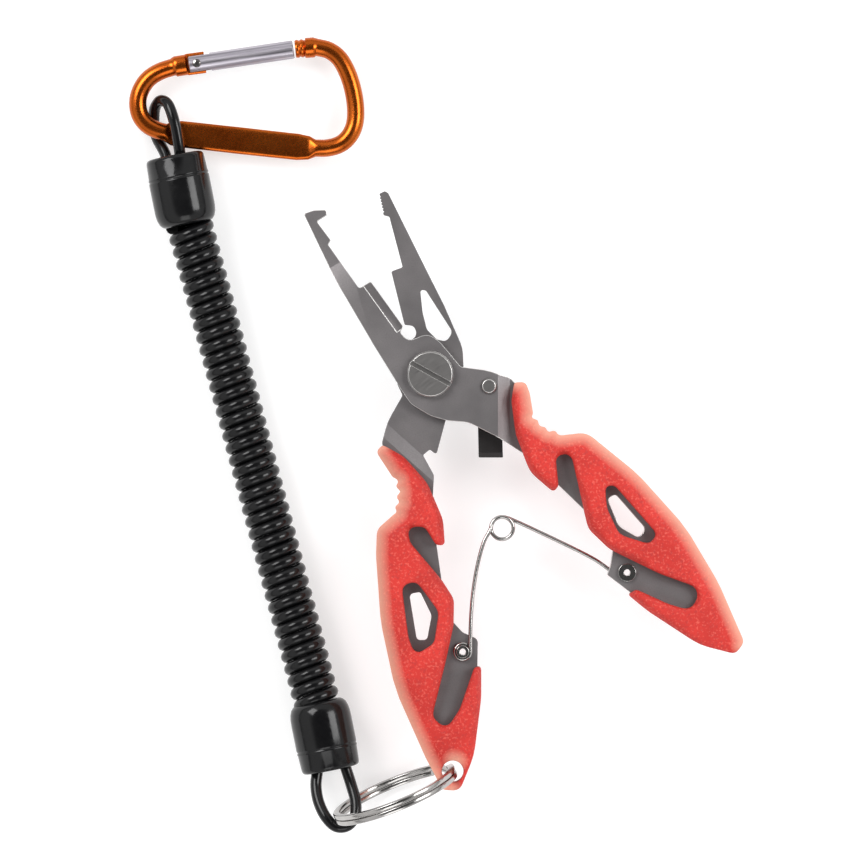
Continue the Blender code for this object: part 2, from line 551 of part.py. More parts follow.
def key_ring():
    """The key ring, standing through the hole in the left grip's tail."""
    along = Vector((math.cos(RING_HEADING), math.sin(RING_HEADING), 0))
    side = Vector((-along.y, along.x, 0))
    up = side * math.sin(RING_LEAN) + Vector((0, 0, 1)) * math.cos(RING_LEAN)
    normal = along.cross(up)
    centre = Vector((*RING_HOLE, MID)) + along * RING_R
    place = Matrix((along, up, normal)).transposed().to_4x4()
    place.translation = centre
    outer, inner, half = RING_R + RING_RADIAL / 2, RING_R - RING_RADIAL / 2, RING_AXIAL / 2
    ring = turned("key_ring", [(outer, half), (outer, -half), (inner, -half), (inner, half)],
                  (0, 0), BRIGHT_STEEL, 40)
    move(ring, place)


def move(thing, place):
    """Moves an object's mesh by a matrix in millimetres."""
    metres = place.copy()
    metres.translation = place.translation * MM
    thing.data.transform(metres)


def sleeve(name, ends):
    """A moulded end sleeve of the lanyard, lying along a line from its coil end to its outer end."""
    outer, coil = (Vector((*end, SLEEVE_Z)) for end in ends)
    length = (outer - coil).length
    seam = 0.68 * length
    body = turned(name, [(0, length), (SLEEVE_R - 0.6, length), (SLEEVE_R - 0.3, length - 0.3),
                         (SLEEVE_R - 0.1, seam), (SLEEVE_R, seam - 0.2), (SLEEVE_R, 3.2),
                         (SLEEVE_R - 0.6, 1.2), (SLEEVE_R - 1.8, 0), (0, 0)], (0, 0), BLACK_PLASTIC, 24)
    turn = Vector((0, 0, 1)).rotation_difference(outer - coil).to_matrix().to_4x4()
    turn.translation = coil
    move(body, turn)


def lanyard():
    """The coiled cord, its sleeves and its two end loops."""
    sleeve("sleeve_upper", SLEEVE_UPPER)
    sleeve("sleeve_lower", SLEEVE_LOWER)
    tube("coil_cord", on_floor(COIL_CORD, 2), COIL_CORD_R, BLACK_PLASTIC, 4)
    tube("loop_upper", on_floor(LOOP_UPPER, 3), CORD_R, BLACK_PLASTIC)
    tube("loop_lower", on_floor(LOOP_LOWER, 3), CORD_R, BLACK_PLASTIC)


def on_floor(points, per_span):
    """A smooth route whose heights are counted from the floor."""
    return smooth_route([(x, y, z + FLOOR) for x, y, z in points], per_span)


def carabiner():
    """The carabiner: its body, the sprung gate, the gate's pin and the plunger and spring inside the gate."""
    swept_rod("carabiner_body", CARABINER, BAR_Z, ORANGE)
    hole = PIN_R + GAP
    hole_profile = [(hole, BAR_Z + 4), (hole, BAR_Z - 4), (0, BAR_Z - 4), (0, BAR_Z + 4)]
    pin_hole = turned("pin_hole_cutter", hole_profile, GATE_PIN, ORANGE, 14)
    boolean(bpy.data.objects["carabiner_body"], pin_hole)
    pin, end = Vector((*GATE_PIN, BAR_Z)), Vector((*GATE_END, BAR_Z))
    heading = (end - pin).normalized()
    heel = pin - heading * GATE_HEEL
    length = (end - heel).length
    turn = Matrix.Rotation(math.radians(90), 4, "Y")
    turn = Matrix.Rotation(math.atan2(heading.y, heading.x), 4, "Z") @ turn
    turn.translation = heel
    gate = turned("carabiner_gate", [(0, length), (GATE_R - 0.15, length), (GATE_R, length - 0.2),
                                     (GATE_R, 0.2), (GATE_R - 0.15, 0), (GATE_BORE_R, 0),
                                     (GATE_BORE_R, GATE_BORE_DEPTH), (0, GATE_BORE_DEPTH)],
                  (0, 0), SILVER, 24)
    move(gate, turn)
    slot_at = heel + heading * 1.4
    boolean(gate, box_cutter("gate_slot_cutter", (slot_at.x, slot_at.y, BAR_Z), (6.4, 6.0, 2.0),
                             math.atan2(heading.y, heading.x)))
    gate_hole = turned("gate_pin_cutter", hole_profile, GATE_PIN, ORANGE, 14)
    boolean(gate, gate_hole)
    turned("gate_pin", [(0, BAR_Z + GATE_R), (PIN_R, BAR_Z + GATE_R), (PIN_R, BAR_Z - GATE_R),
                        (0, BAR_Z - GATE_R)], GATE_PIN, SILVER, 14)
    plunger = turned("gate_plunger", [(0, 5.6), (0.85, 5.6), (0.85, 4.9), (0, 4.9)], (0, 0), SILVER, 12)
    move(plunger, turn)
    rings = [(0.62 * math.cos(k * 0.9), 0.62 * math.sin(k * 0.9), 6.1 + 0.07 * k) for k in range(36)]
    tube("gate_spring", [turn @ Vector(p) for p in rings], 0.2, BRIGHT_STEEL, 1)


def put_origin(axis, *names):
    """Puts the origins of pieces on a vertical joint axis at (x, y), without moving the pieces."""
    place = Vector((axis[0], axis[1], 0.0)) * MM
    for name in names:
        thing = bpy.data.objects[name]
        thing.data.transform(Matrix.Translation(-place))
        thing.location = place


def main():
    """Builds every piece."""
    clear_scene()
    arms()
    grip("grip_right", RIGHT_GRIP, RIGHT_WINDOW, UPPER_ARM, UPPER_HANDLE_HOLE, (0.74, -0.67))
    grip("grip_left", LEFT_GRIP, LEFT_WINDOW, LOWER_ARM, LOWER_HANDLE_HOLE, (0.06, -1.0), RING_HOLE)
    pivot()
    latch()
    eyelet("eyelet_left", EYE_LEFT, True)
    eyelet("eyelet_right", EYE_RIGHT, False)
    spring()
    key_ring()
    lanyard()
    carabiner()
    put_origin(LATCH_AXIS, "latch_lever")
    put_origin(EYE_LEFT, "spring_leg_left")
    put_origin(EYE_RIGHT, "spring_leg_right", "spring_coil")
    put_origin(RING_HOLE, "key_ring")
    put_origin(LANYARD_HOLD, "loop_lower", "sleeve_lower", "coil_cord", "sleeve_upper", "loop_upper")
    put_origin(CARABINER_HOLD, "carabiner_body", "gate_pin")
    put_origin(GATE_PIN, "carabiner_gate", "gate_plunger", "gate_spring")


main()
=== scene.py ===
"""The looks of a pair of fishing pliers on a coiled lanyard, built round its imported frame.

Lengths are in millimetres unless a comment says metres, and MM turns them into the scene's metres.
The arms, grips and fasteners are made from the frame's own solids. The wires, cords and rods are
drawn again, more finely.
"""

import logging
import math
from collections.abc import Callable, Sequence
from dataclasses import dataclass, field
from enum import Enum

import bmesh
import bpy
from mathutils import Matrix, Vector
from mathutils.bvhtree import BVHTree
from mathutils.kdtree import KDTree


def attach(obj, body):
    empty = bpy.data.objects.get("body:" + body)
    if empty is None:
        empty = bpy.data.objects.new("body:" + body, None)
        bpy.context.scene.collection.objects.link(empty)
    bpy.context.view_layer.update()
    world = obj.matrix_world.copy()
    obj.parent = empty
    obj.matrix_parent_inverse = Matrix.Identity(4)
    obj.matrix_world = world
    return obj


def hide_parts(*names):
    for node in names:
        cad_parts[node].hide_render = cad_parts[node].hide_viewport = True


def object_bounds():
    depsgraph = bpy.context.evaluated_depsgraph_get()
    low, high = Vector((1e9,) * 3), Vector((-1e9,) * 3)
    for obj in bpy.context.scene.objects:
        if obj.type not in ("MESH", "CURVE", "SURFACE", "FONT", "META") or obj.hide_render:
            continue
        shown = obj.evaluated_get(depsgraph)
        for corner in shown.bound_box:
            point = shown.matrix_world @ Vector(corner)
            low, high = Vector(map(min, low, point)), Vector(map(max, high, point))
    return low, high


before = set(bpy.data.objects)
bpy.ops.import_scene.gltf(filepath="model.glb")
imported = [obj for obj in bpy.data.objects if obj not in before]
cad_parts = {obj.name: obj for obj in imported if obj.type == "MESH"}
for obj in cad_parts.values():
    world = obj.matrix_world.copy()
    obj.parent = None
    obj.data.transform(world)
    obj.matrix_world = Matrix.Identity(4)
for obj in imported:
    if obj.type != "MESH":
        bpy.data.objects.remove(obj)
CAD_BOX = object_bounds()

Colour = tuple[float, float, float]
Point = tuple[float, float, float]

MM = 0.001
MID = 4.4                # height of the tool's middle plane
FLOOR = CAD_BOX[0].z / MM
WELD = 0.002             # corners closer than this are one corner
SEAM_WELD = 1e-4         # the same, along the seam of a spun shape
FLAT = 0.5               # degrees within which neighbouring faces are one flat face
SHARP = 35.0             # degrees past which an edge is sharp
log = logging.getLogger("pliers")


class Side(Enum):
    """The two halves of the tool, named by the side that their handle is on."""

    LEFT = "left"
    RIGHT = "right"


# ---- materials ----
class Shader:
    """A Principled material while its nodes are being joined."""

    METAL_SPECULAR = 0.5
    DULL_SPECULAR = 0.3
    MIX_INPUTS = (0, 6, 7)   # the factor and the two colours of a colour mix
    MIX_RESULT = 2

    def __init__(self, name: str, metallic: float) -> None:
        """Starts a material.

        Args:
            name: the material's name.
            metallic: 0 for plastic and rubber, 1 for bare metal.
        """
        self.material = bpy.data.materials.new(name)
        self.material.use_nodes = True
        self.tree = self.material.node_tree
        self.surface = self.tree.nodes["Principled BSDF"]
        self.surface.inputs["Metallic"].default_value = metallic
        specular = self.METAL_SPECULAR if metallic else self.DULL_SPECULAR
        self.surface.inputs["Specular IOR Level"].default_value = specular
        self.place = self.tree.nodes.new("ShaderNodeTexCoord").outputs["Object"]
        self.normal: bpy.types.NodeSocket | None = None

    def feed(self, value: object, socket: bpy.types.NodeSocket) -> None:
        """Feeds a socket.

        Args:
            value: another socket to link, or a number or a colour to set.
            socket: the socket that takes it.
        """
        if isinstance(value, bpy.types.NodeSocket):
            self.tree.links.new(value, socket)
        elif isinstance(value, tuple):
            socket.default_value = (*value, 1.0)
        else:
            socket.default_value = value

    def noise(self, scale: float, stretch: Point = (1.0, 1.0, 1.0), turn: float = 0.0,
              detail: float = 3.0) -> bpy.types.NodeSocket:
        """Noise that keeps its size on the piece.

        Args:
            scale: blotches to the metre.
            stretch: how much longer the blotches are along each turned axis.
            turn: degrees that the axes are turned about the vertical.
            detail: number of finer layers.

        Returns:
            The noise's factor socket.
        """
        place = self.tree.nodes.new("ShaderNodeMapping")
        place.vector_type = "TEXTURE"
        place.inputs["Rotation"].default_value = (0.0, 0.0, math.radians(turn))
        place.inputs["Scale"].default_value = stretch
        self.tree.links.new(self.place, place.inputs["Vector"])
        noise = self.tree.nodes.new("ShaderNodeTexNoise")
        noise.inputs["Scale"].default_value = scale
        noise.inputs["Detail"].default_value = detail
        self.tree.links.new(place.outputs[0], noise.inputs["Vector"])
        return noise.outputs[0]

    def attribute(self, name: str) -> bpy.types.NodeSocket:
        """Reads a number that the mesh carries at each vertex.

        Args:
            name: the attribute's name.

        Returns:
            The number's socket.
        """
        node = self.tree.nodes.new("ShaderNodeAttribute")
        node.attribute_name = name
        return node.outputs["Fac"]

    def ramp(self, value: bpy.types.NodeSocket, low: float, high: float, start: float = 0.0,
             end: float = 1.0) -> bpy.types.NodeSocket:
        """Turns one range of values into another.

        Args:
            value: the socket to change.
            low: the value that becomes start.
            high: the value that becomes end.
            start: the result at low.
            end: the result at high.

        Returns:
            The changed value's socket.
        """
        node = self.tree.nodes.new("ShaderNodeMapRange")
        for socket, number in zip(node.inputs[1:5], (low, high, start, end)):
            socket.default_value = number
        self.tree.links.new(value, node.inputs[0])
        return node.outputs[0]

    def mix(self, factor: object, first: object, second: object) -> bpy.types.NodeSocket:
        """Mixes two colours.

        Args:
            factor: 0 for the first colour alone, 1 for the second.
            first: the first colour, or its socket.
            second: the second colour, or its socket.

        Returns:
            The mixed colour's socket.
        """
        node = self.tree.nodes.new("ShaderNodeMix")
        node.data_type = "RGBA"
        for value, index in zip((factor, first, second), self.MIX_INPUTS):
            self.feed(value, node.inputs[index])
        return node.outputs[self.MIX_RESULT]

    def bump(self, height: bpy.types.NodeSocket, depth: float) -> None:
        """Adds a relief over any that is there.

        Args:
            height: the socket of the relief's height.
            depth: its depth in millimetres.
        """
        node = self.tree.nodes.new("ShaderNodeBump")
        node.inputs["Distance"].default_value = depth * MM
        self.tree.links.new(height, node.inputs["Height"])
        if self.normal is not None:
            self.tree.links.new(self.normal, node.inputs["Normal"])
        self.normal = node.outputs[0]
        self.tree.links.new(self.normal, self.surface.inputs["Normal"])

    def set(self, name: str, value: object) -> None:
        """Sets one of the surface's own sockets."""
        self.feed(value, self.surface.inputs[name])


@dataclass(frozen=True)
class Finish:
    """A surface of two close colours in soft patches, with fine grain in its gloss and its relief."""

    name: str
    colour: Colour
    shade: Colour
    rough: tuple[float, float]
    metallic: float = 1.0
    grain: float = 4000.0
    stretch: Point = (1.0, 1.0, 1.0)
    turn: float = 0.0
    relief: float = 0.004
    patch: float = 150.0
    patch_band: tuple[float, float] = (0.35, 0.65)       # levels of noise over which the colours mix
    gloss_band: tuple[float, float] = (0.3, 0.7)
    grain_band: tuple[float, float] = (0.45, 0.75)
    grain_tint: float = 0.35

    def made(self) -> bpy.types.Material:
        """The finish's material, made the first time that it is asked for."""
        return bpy.data.materials.get("fine_" + self.name) or self.build()

    def build(self) -> bpy.types.Material:
        """Makes the material.

        Returns:
            The finished material.
        """
        shader = Shader("fine_" + self.name, self.metallic)
        fine = shader.noise(self.grain, self.stretch, self.turn)
        broad = shader.noise(self.patch, self.stretch, self.turn)
        colour = shader.mix(shader.ramp(broad, *self.patch_band), self.colour, self.shade)
        shader.set("Base Color", self.tint(shader, colour, fine))
        shader.set("Roughness", shader.ramp(fine, *self.gloss_band, *self.rough))
        shader.bump(fine, self.relief)
        return shader.material

    def tint(self, shader: Shader, colour: bpy.types.NodeSocket,
             fine: bpy.types.NodeSocket) -> bpy.types.NodeSocket:
        """Works the grain into the colour."""
        return shader.mix(shader.ramp(fine, *self.grain_band, 0.0, self.grain_tint), colour, self.shade)


@dataclass(frozen=True)
class Rubber(Finish):
    """Moulded rubber: light and dark specks all over, and a painted highlight along the edge on the hand
    side.
    """

    speck: Colour = (0.78, 0.15, 0.11)
    dark: Colour = (0.36, 0.03, 0.03)
    # painted highlight: a pale colour along the hand side's edge that stands in for the light on the rounded
    # rim
    painted_highlight: Colour = (0.80, 0.40, 0.29)
    speck_size: float = 2100.0
    speck_band: tuple[float, float] = (0.54, 0.72)
    speck_tint: float = 0.5
    speck_relief: float = 0.03
    dark_size: float = 0.8   # the dark specks' scale, as a share of the light ones'
    dark_turn: float = 50.0
    painted_highlight_band: tuple[float, float] = (0.42, 1.0)
    painted_highlight_tint: float = 0.85

    def tint(self, shader: Shader, colour: bpy.types.NodeSocket,
             fine: bpy.types.NodeSocket) -> bpy.types.NodeSocket:
        """Adds the specks and the painted highlight along the hand side's edge.

        Args:
            shader: the material being made.
            colour: its colour so far.
            fine: its grain, which is not used, as the specks take its place.

        Returns:
            The speckled colour's socket.
        """
        specks = shader.noise(self.speck_size, detail=1.0)
        pits = shader.noise(self.speck_size * self.dark_size, turn=self.dark_turn, detail=1.0)
        colour = shader.mix(shader.ramp(specks, *self.speck_band, 0.0, self.speck_tint), colour, self.speck)
        colour = shader.mix(shader.ramp(pits, *self.speck_band, 0.0, self.speck_tint), colour, self.dark)
        # painted highlight: paler towards the hand side's edge, following the rim attribute
        highlight_share = shader.ramp(shader.attribute("rim"), *self.painted_highlight_band, 0.0, self.painted_highlight_tint)
        shader.bump(specks, self.speck_relief)
        return shader.mix(highlight_share, colour, self.painted_highlight)


ARM_STEEL = Finish("arm_steel", (0.245, 0.23, 0.232), (0.18, 0.17, 0.172), (0.46, 0.58), patch=90.0)
# painted highlight: a pale colour on the broken edges of the arms, screw, nut and rivet
EDGE_HIGHLIGHT = Finish("steel_edge_highlight", (0.80, 0.78, 0.76), (0.6, 0.59, 0.58), (0.3, 0.42))
SCREW_STEEL = Finish("screw_steel", (0.27, 0.26, 0.255), (0.20, 0.195, 0.19), (0.36, 0.48),
                     stretch=(12.0, 1.0, 1.0), turn=35.0)
# painted shade: near black on the faces inside the screw's slot
SLOT_SHADE = Finish("slot_painted_shade", (0.035, 0.034, 0.033), (0.05, 0.05, 0.05), (0.5, 0.6))
LATCH_STEEL = Finish("latch_steel", (0.04, 0.037, 0.037), (0.06, 0.055, 0.055), (0.34, 0.5), metallic=0.7)
# painted highlight: pale grey on the black latch's upward lip faces and broken edges
LATCH_HIGHLIGHT = Finish("latch_painted_highlight", (0.34, 0.33, 0.32), (0.2, 0.2, 0.2), (0.3, 0.4))
PLATED = Finish("plated_steel", (0.50, 0.485, 0.47), (0.38, 0.37, 0.36), (0.12, 0.22), relief=0.001)
RUBBER = Rubber("grip_rubber", (0.60, 0.033, 0.025), (0.49, 0.026, 0.02), (0.5, 0.68), metallic=0.0,
                grain=5200.0, relief=0.03)
GLOSS_BLACK = Finish("gloss_black", (0.004, 0.004, 0.0045), (0.007, 0.007, 0.0075), (0.10, 0.2),
                     metallic=0.0, grain=900.0, relief=0.006)
ORANGE = Finish("orange_anodised", (0.56, 0.125, 0.016), (0.46, 0.09, 0.011), (0.2, 0.3), relief=0.002)
ORANGE_BAR = Finish("orange_brushed", (0.93, 0.17, 0.006), (0.70, 0.12, 0.004), (0.6, 0.72),
                    grain=5000.0, stretch=(40.0, 1.0, 1.0), turn=-6.3, patch=1800.0)
SILVER = Finish("brushed_silver", (0.54, 0.51, 0.56), (0.30, 0.28, 0.32), (0.28, 0.45),
                grain=5000.0, stretch=(40.0, 1.0, 1.0), turn=8.4, patch=1800.0)


# ---- making and publishing pieces ----
def add_piece(name: str, data: bpy.types.Mesh | bpy.types.Curve, finishes: Sequence[Finish], body: str,
              nodes: Sequence[str]) -> bpy.types.Object:
    """Links a finished piece, dresses it and hangs it on its body.

    Args:
        name: the piece's name.
        data: its mesh or curve, in place and in metres.
        finishes: one finish for each of its material indices.
        body: the body that it moves with.
        nodes: the nodes that it stands for.

    Returns:
        The new object.
    """
    piece = bpy.data.objects.new(name, data)
    bpy.context.scene.collection.objects.link(piece)
    data.materials.clear()
    for finish in finishes:
        data.materials.append(finish.made())
    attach(piece, body)
    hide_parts(*nodes)
    log.info("%s on %s, for %s", name, body, ", ".join(nodes))
    return piece


def to_mesh(name: str, shape: bmesh.types.BMesh, sharp: float = SHARP) -> bpy.types.Mesh:
    """Turns a bmesh into a smooth-shaded mesh with its sharp edges marked.

    Args:
        name: the mesh's name.
        shape: the bmesh in metres, which is freed.
        sharp: degrees past which an edge is sharp.

    Returns:
        The new mesh.
    """
    mesh = bpy.data.meshes.new(name)
    shape.to_mesh(mesh)
    shape.free()
    mesh.shade_smooth()
    mesh.set_sharp_from_angle(angle=math.radians(sharp))
    return mesh


def merged(node: str, flatten: bool = True) -> bmesh.types.BMesh:
    """Copies a node's solid with its loose corners merged.

    Args:
        node: the node's name.
        flatten: whether its flat faces are made whole as well.

    Returns:
        The copy, in metres.
    """
    shape = bmesh.new()
    shape.from_mesh(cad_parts[node].data)
    bmesh.ops.remove_doubles(shape, verts=shape.verts, dist=WELD * MM)
    if flatten:
        bmesh.ops.dissolve_limit(shape, angle_limit=math.radians(FLAT), verts=shape.verts,
                                 edges=shape.edges)
    return shape


def soft_edges(piece: bpy.types.Object, width: float, segments: int = 2, edge_finish: int = -1) -> None:
    """Breaks a piece's sharp edges.

    Args:
        piece: the object.
        width: width of the broken edge, in millimetres.
        segments: number of facets across it.
        edge_finish: material index of the broken edges, or -1 for their neighbours' own.
    """
    change = piece.modifiers.new("broken_edges", "BEVEL")
    change.width = width * MM
    change.segments = segments
    change.limit_method = "ANGLE"
    change.angle_limit = math.radians(SHARP)
    change.material = edge_finish
    change.harden_normals = True


def spun(profile: Sequence[tuple[float, float]], place: Matrix, steps: int = 64) -> bmesh.types.BMesh:
    """Spins a profile of (radius, height) points and puts it in place.

    Args:
        profile: the outline in millimetres, from one end of the axis to the other, or a closed ring.
        place: matrix in millimetres.
        steps: facets round the axis.

    Returns:
        A closed bmesh in metres.
    """
    shape = bmesh.new()
    corners = [shape.verts.new((radius, 0.0, height)) for radius, height in profile]
    edges = [shape.edges.new(pair) for pair in zip(corners, corners[1:])]
    if min(radius for radius, _ in profile) > 0:
        edges.append(shape.edges.new((corners[-1], corners[0])))
    bmesh.ops.spin(shape, geom=edges, cent=(0, 0, 0), axis=(0, 0, 1), angle=2 * math.pi, steps=steps,
                   use_merge=True)
    bmesh.ops.remove_doubles(shape, verts=shape.verts, dist=SEAM_WELD)
    bmesh.ops.recalc_face_normals(shape, faces=shape.faces)
    bmesh.ops.transform(shape, matrix=Matrix.Scale(MM, 4) @ place, verts=shape.verts)
    return shape


def extruded(stations: Sequence[Sequence[Vector]]) -> bmesh.types.BMesh:
    """Extrudes a closed section through its stations.

    Args:
        stations: the section's corners at each station, in millimetres, in the same order at each.

    Returns:
        A closed bmesh in metres.
    """
    shape = bmesh.new()
    ring = [shape.verts.new(corner) for corner in stations[0]]
    face = shape.faces.new(ring)
    for i, corners in enumerate(stations[1:]):
        behind = face
        made = bmesh.ops.extrude_face_region(shape, geom=[face])["geom"]
        fresh = {v for v in made if isinstance(v, bmesh.types.BMVert)}
        face = next(f for f in made if isinstance(f, bmesh.types.BMFace) and set(f.verts) == fresh)
        ring = [next(e.other_vert(v) for e in v.link_edges if e.other_vert(v) in fresh) for v in ring]
        if i > 0 and behind.is_valid:
            bmesh.ops.delete(shape, geom=[behind], context="FACES_ONLY")
        for vert, corner in zip(ring, corners):
            vert.co = corner
    bmesh.ops.recalc_face_normals(shape, faces=shape.faces)
    bmesh.ops.scale(shape, vec=(MM, MM, MM), verts=shape.verts)
    return shape


def smooth_route(points: Sequence[Sequence[float]], per_span: int) -> list[Vector]:
    """Draws a smooth curve through a route's points.

    Args:
        points: the route's points.
        per_span: steps from each point to the next.

    Returns:
        Points along the curve.
    """
    route = []
    spans = len(points) - 1
    for i in range(spans):
        a, b, c, d = (Vector(points[min(max(k, 0), spans)]) for k in (i - 1, i, i + 1, i + 2))
        for k in range(per_span):
            t = k / per_span
            route.append(0.5 * (2 * b + (c - a) * t + (2 * a - 5 * b + 4 * c - d) * t * t
                                + (3 * b - a - 3 * c + d) * t ** 3))
    route.append(Vector(points[-1]))
    return route


def bent_route(points: Sequence[Sequence[float]], per_span: int) -> list[Vector]:
    """Draws a curve that bends with each span's own length, so that short spans don't overshoot.

    Args:
        points: the route's points.
        per_span: steps from each point to the next.

    Returns:
        Points along the curve.
    """
    places = [Vector(point) for point in points]
    last = len(places) - 1
    ahead = [(places[min(i + 1, last)] - places[max(i - 1, 0)]).normalized() for i in range(last + 1)]
    route = []
    for i in range(last):
        span = (places[i + 1] - places[i]).length
        for k in range(per_span):
            t = k / per_span
            rise = t * t * (3 - 2 * t)
            route.append(places[i] * (1 - rise) + places[i + 1] * rise
                         + ahead[i] * span * t * (1 - t) ** 2 - ahead[i + 1] * span * t * t * (1 - t))
    route.append(places[last])
    return route


def wire(name: str, route: Sequence[Vector], radius: float, resolution: int = 4) -> bpy.types.Curve:
    """Makes a round wire or cord, as a bevelled curve with filled ends.

    Args:
        name: the curve's name.
        route: points along its middle, in millimetres.
        radius: its radius in millimetres.
        resolution: how finely its section is rounded.

    Returns:
        The curve, in metres.
    """
    curve = bpy.data.curves.new(name, "CURVE")
    curve.dimensions = "3D"
    curve.bevel_depth = radius * MM
    curve.bevel_resolution = resolution
    curve.use_fill_caps = True
    spline = curve.splines.new("POLY")
    spline.points.add(len(route) - 1)
    for point, place in zip(spline.points, route):
        point.co = (*(Vector(place) * MM), 1.0)
    spline.use_smooth = True
    return curve


# ---- the tool ----
@dataclass
class Arms:
    """The two stamped steel arms, with a painted highlight on their broken edges."""

    edge: float = 0.2
    bodies: dict[str, str] = field(default_factory=lambda: {"lower_arm": "lower_half",
                                                            "upper_arm": "upper_half"})

    def build(self) -> None:
        """Makes both arms."""
        for node, body in self.bodies.items():
            mesh = to_mesh(node + "_steel", merged(node))
            arm = add_piece(node + "_steel", mesh, (ARM_STEEL, EDGE_HIGHLIGHT), body, (node,))
            # the broken edges take the painted highlight
            soft_edges(arm, self.edge, edge_finish=1)


@dataclass
class Grips:
    """The moulded rubber grips, domed down to their outer edges."""

    voxel: float = 0.3
    polish: int = 7          # passes that take out the last facets
    skin: float = 1.9        # only what is this far from the middle plane is shaped
    shoulder: float = 4.6    # width of the slope along the side that faces the hand
    corner: float = 1.3      # width of the rounding along every other side
    level: float = 0.5       # upward part of a normal past which a face is no wall
    clear: float = 0.1       # how far off a wall the look outward starts
    facing: float = 0.3      # how squarely a wall of the hand side faces outward
    least_slope: float = 0.14    # share of the height that is left at the hand side's edge
    least_corner: float = 0.5    # and at every other edge
    smoothing: float = 0.5
    sharp: float = 80.0
    outward: dict[Side, Point] = field(default_factory=lambda: {Side.LEFT: (-1.0, -0.15, 0.0),
                                                                Side.RIGHT: (0.75, 0.66, 0.0)})

    def build(self) -> None:
        """Makes both grips."""
        for side, body in ((Side.LEFT, "lower_half"), (Side.RIGHT, "upper_half")):
            node = "grip_" + side.value
            name = node + "_rubber"
            mesh = self.domed(node, name, Vector(self.outward[side]).normalized())
            add_piece(name, mesh, (RUBBER,), body, (node,))

    def even(self, node: str) -> bpy.types.Mesh:
        """Makes a closed mesh of small even faces from a node's solid.

        Args:
            node: the node's name.

        Returns:
            The mesh, in metres.
        """
        mesh = to_mesh(node + "_even", merged(node, flatten=False))
        guide = bpy.data.objects.new(node + "_even", mesh)
        bpy.context.scene.collection.objects.link(guide)
        change = guide.modifiers.new("even", "REMESH")
        change.mode = "VOXEL"
        change.voxel_size = self.voxel * MM
        depsgraph = bpy.context.evaluated_depsgraph_get()
        even = bpy.data.meshes.new_from_object(guide.evaluated_get(depsgraph))
        bpy.data.objects.remove(guide)
        return even

    def walls(self, shape: bmesh.types.BMesh, outward: Vector) -> tuple[KDTree, KDTree]:
        """Flat maps of a grip's outline.

        Args:
            shape: the grip.
            outward: the way that its hand side faces.

        Returns:
            The walls of its hand side, and the walls all round it.
        """
        tree = BVHTree.FromBMesh(shape)
        hand, around = [], []
        for vert in shape.verts:
            if abs(vert.normal.z) > self.level or abs(vert.co.z / MM - MID) < self.skin:
                continue
            facing = Vector((vert.normal.x, vert.normal.y, 0)).normalized()
            if tree.ray_cast(vert.co + facing * self.clear * MM, facing)[0] is None:
                around.append(vert)
                if facing.dot(outward) > self.facing:
                    hand.append(vert)
        maps = []
        for found in (hand, around):
            flat = KDTree(len(found))
            for i, vert in enumerate(found):
                flat.insert((vert.co.x, vert.co.y, 0.0), i)
            flat.balance()
            maps.append(flat)
        return maps[0], maps[1]

    def domed(self, node: str, name: str, outward: Vector) -> bpy.types.Mesh:
        """Domes a grip down to its outline and notes how near each point is to the hand side, which sets the
        painted highlight there.

        Args:
            node: the node that it is made from.
            name: the new mesh's name.
            outward: the way that its hand side faces.

        Returns:
            The mesh, with the attribute rim.
        """
        shape = bmesh.new()
        shape.from_mesh(self.even(node))
        shape.normal_update()
        hand, around = self.walls(shape, outward)
        rim = shape.verts.layers.float.new("rim")
        outer = []
        for vert in shape.verts:
            flat = (vert.co.x, vert.co.y, 0.0)
            near_hand = max(0.0, 1.0 - hand.find(flat)[2] / MM / self.shoulder)
            near_edge = max(0.0, 1.0 - around.find(flat)[2] / MM / self.corner)
            # rim holds how near the hand side is, and sets the grips' painted highlight
            vert[rim] = near_hand
            height = vert.co.z / MM - MID
            if abs(height) > self.skin:
                outer.append(vert)
                slope = max(self.least_slope, math.sqrt(1 - near_hand ** 2))
                corner = max(self.least_corner, math.sqrt(1 - near_edge ** 2))
                lift = self.skin + (abs(height) - self.skin) * (slope * corner)
                vert.co.z = (MID + math.copysign(lift, height)) * MM
        for _ in range(self.polish):
            bmesh.ops.smooth_vert(shape, verts=outer, factor=self.smoothing, use_axis_x=True, use_axis_y=True,
                                  use_axis_z=True)
        return to_mesh(name, shape, self.sharp)


